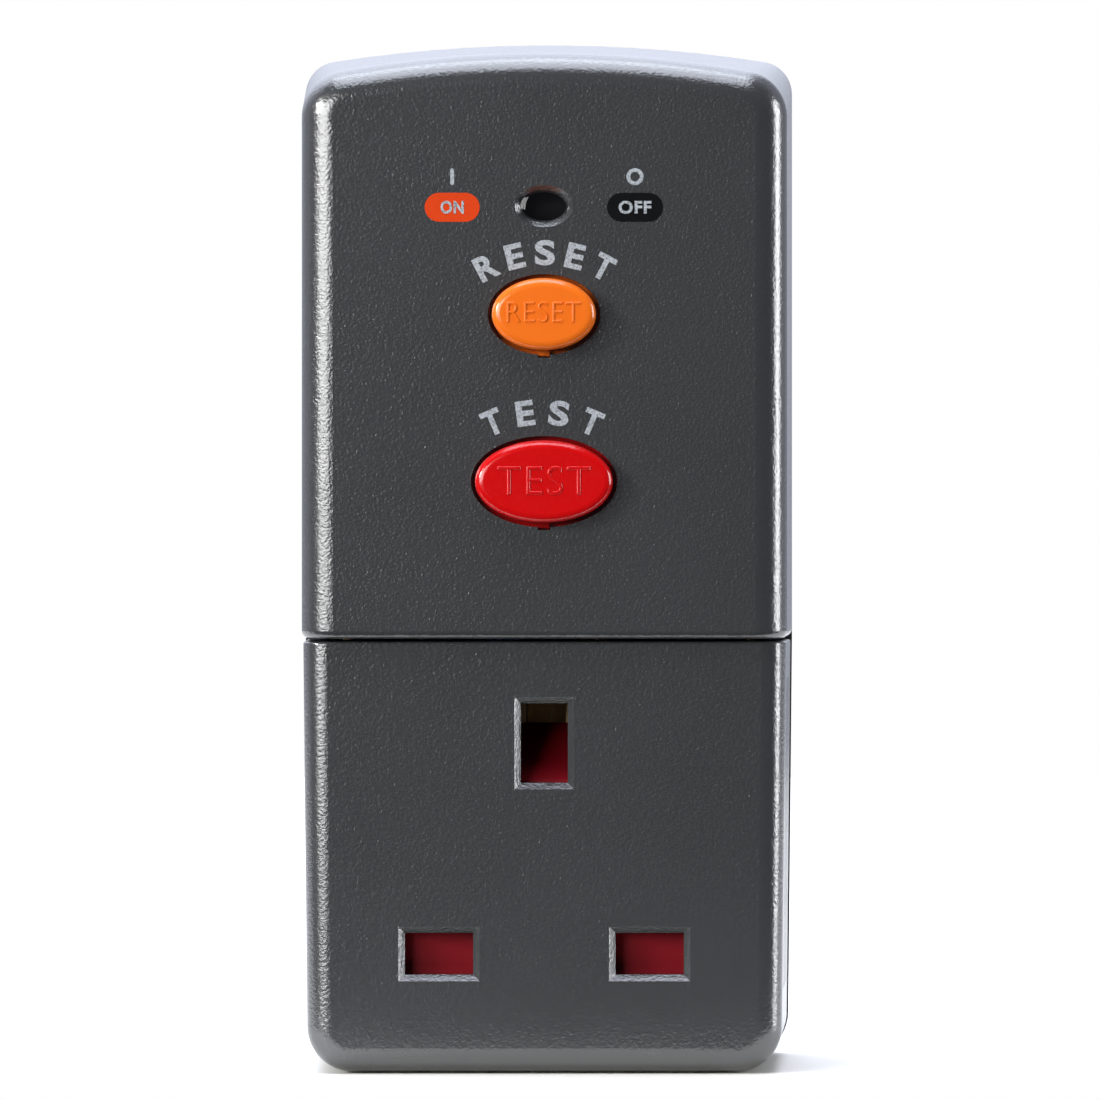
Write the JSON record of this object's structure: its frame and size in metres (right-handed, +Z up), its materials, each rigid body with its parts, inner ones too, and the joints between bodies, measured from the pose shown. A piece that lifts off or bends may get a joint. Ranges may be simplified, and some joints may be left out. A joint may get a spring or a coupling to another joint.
{
  "type": "rcd adapter plug",
  "caption": "Plug-through residual current adapter: pinned rear tray, shuttered socket below, oval reset and test buttons and a contact flag window above.",
  "frame": {"origin": "on the flat rear face, the one that meets the wall socket, midway between the two flat pins and level with them", "axes": "+X to the viewer's right as the socket face is seen, +Y from the socket face towards the wall, along the pins, +Z up towards the earth pin and the buttons"},
  "size_m": [0.053, 0.0668, 0.1103],
  "materials": {
    "casing_plastic": "dark charcoal moulding with a fine eroded grain",
    "reset_plastic": "orange moulding, satin",
    "test_plastic": "red moulding, satin",
    "shutter_plastic": "deep red moulding",
    "lens_plastic": "smoked clear lens, polished",
    "sleeve_plastic": "black moulded sleeve",
    "frame_plastic": "natural ivory moulding",
    "block_plastic": "dark grey moulding",
    "carrier_plastic": "off-white moulding",
    "flag_black": "black drum",
    "flag_orange": "orange band",
    "pin_brass": "drawn and tumbled",
    "contact_brass": "stamped strip",
    "screw_steel": "zinc plated",
    "spring_steel": "drawn spring wire",
    "yoke_steel": "folded strip, zinc plated",
    "coil_copper": "enamelled copper wire, layer wound",
    "core_ferrite": "coated ring core",
    "board_laminate": "green solder resist",
    "chip_resin": "black moulding compound",
    "capacitor_plastic": "yellow moulded case",
    "varistor_coating": "blue dipped coating",
    "resistor_coating": "beige coating",
    "live_insulation": "brown insulation",
    "neutral_insulation": "blue insulation"
  },
  "bodies": {
    "housing": {"rear_housing": "casing_plastic", "control_cover": "casing_plastic", "socket_cover": "casing_plastic", "case_screws": "screw_steel", "live_pin": "pin_brass", "neutral_pin": "pin_brass", "earth_pin": "pin_brass", "live_pin_sleeve": "sleeve_plastic", "neutral_pin_sleeve": "sleeve_plastic", "pin_retainer": "block_plastic", "retainer_screws": "screw_steel", "shutter_spring": "spring_steel", "socket_block": "block_plastic", "live_contact": "contact_brass", "neutral_contact": "contact_brass", "earth_contact": "contact_brass", "earth_strap": "contact_brass", "live_supply_bar": "contact_brass", "neutral_supply_bar": "contact_brass", "live_load_bar": "contact_brass", "neutral_load_bar": "contact_brass", "live_lead": "live_insulation", "neutral_lead": "neutral_insulation", "toroid_core": "core_ferrite", "toroid_winding": "coil_copper", "toroid_holder": "frame_plastic", "test_leaf": "contact_brass", "circuit_board": "board_laminate", "board_screws": "screw_steel", "mechanism_frame": "frame_plastic", "flag_pin": "spring_steel", "button_deck": "frame_plastic", "deck_screws": "screw_steel", "reset_spring": "spring_steel", "test_spring": "spring_steel", "opening_spring": "spring_steel", "window_lens": "lens_plastic", "solenoid_frame": "yoke_steel", "solenoid_bobbin": "carrier_plastic", "solenoid_coil": "coil_copper", "plunger_spring": "spring_steel", "latch_pin": "screw_steel", "control_chip": "chip_resin", "capacitor": "capacitor_plastic", "varistor": "varistor_coating", "diodes": "chip_resin", "resistors": "resistor_coating", "test_resistor": "resistor_coating"},
    "reset": {"reset_button": "reset_plastic"},
    "test": {"test_button": "test_plastic"},
    "shutter_slide_body": {"shutter": "shutter_plastic"},
    "carrier": {"contact_carrier": "carrier_plastic", "live_bridge": "contact_brass", "neutral_bridge": "contact_brass"},
    "flag": {"flag_drum": "flag_black", "flag_band": "flag_orange"},
    "plunger": {"trip_plunger": "yoke_steel"},
    "latch": {"latch_lever": "yoke_steel"}
  },
  "joints": [
    {"name": "reset_press", "type": "slide", "parent": "housing", "child": "reset", "axis": [0, 1, 0], "range_m": [0, 0.0025], "stiffness_N_per_m": 400, "springref_m": -0.003, "deforming": ["reset_spring"]},
    {"name": "test_press", "type": "slide", "parent": "housing", "child": "test", "axis": [0, 1, 0], "range_m": [0, 0.0018], "stiffness_N_per_m": 400, "springref_m": -0.003, "deforming": ["test_spring"]},
    {"name": "shutter_drop", "type": "slide", "parent": "housing", "child": "shutter_slide_body", "axis": [0, 0, -1], "range_m": [0, 0.0061], "stiffness_N_per_m": 60, "springref_m": -0.006, "deforming": ["shutter_spring"]},
    {"name": "contact_close", "type": "slide", "parent": "housing", "child": "carrier", "axis": [0, -1, 0], "range_m": [0, 0.0024], "stiffness_N_per_m": 400, "springref_m": -0.004, "deforming": ["opening_spring"]},
    {"name": "flag_turn", "type": "hinge", "parent": "housing", "child": "flag", "pos_m": [0, -0.0323, 0.0788], "axis": [1, 0, 0], "range_deg": [-36.1, 0]},
    {"name": "plunger_strike", "type": "slide", "parent": "housing", "child": "plunger", "axis": [0, 0, 1], "range_m": [0, 0.002], "stiffness_N_per_m": 50, "springref_m": -0.003, "deforming": ["plunger_spring"]},
    {"name": "latch_release", "type": "hinge", "parent": "housing", "child": "latch", "pos_m": [-0.013, -0.0125, 0.0595], "axis": [0, 1, 0], "range_deg": [-19.6, 0]}
  ],
  "couplings": [
    {"joint": "flag_turn", "follows": "contact_close", "rad_per_m": -261.8},
    {"joint": "latch_release", "follows": "plunger_strike", "rad_per_m": -170.2}
  ]
}
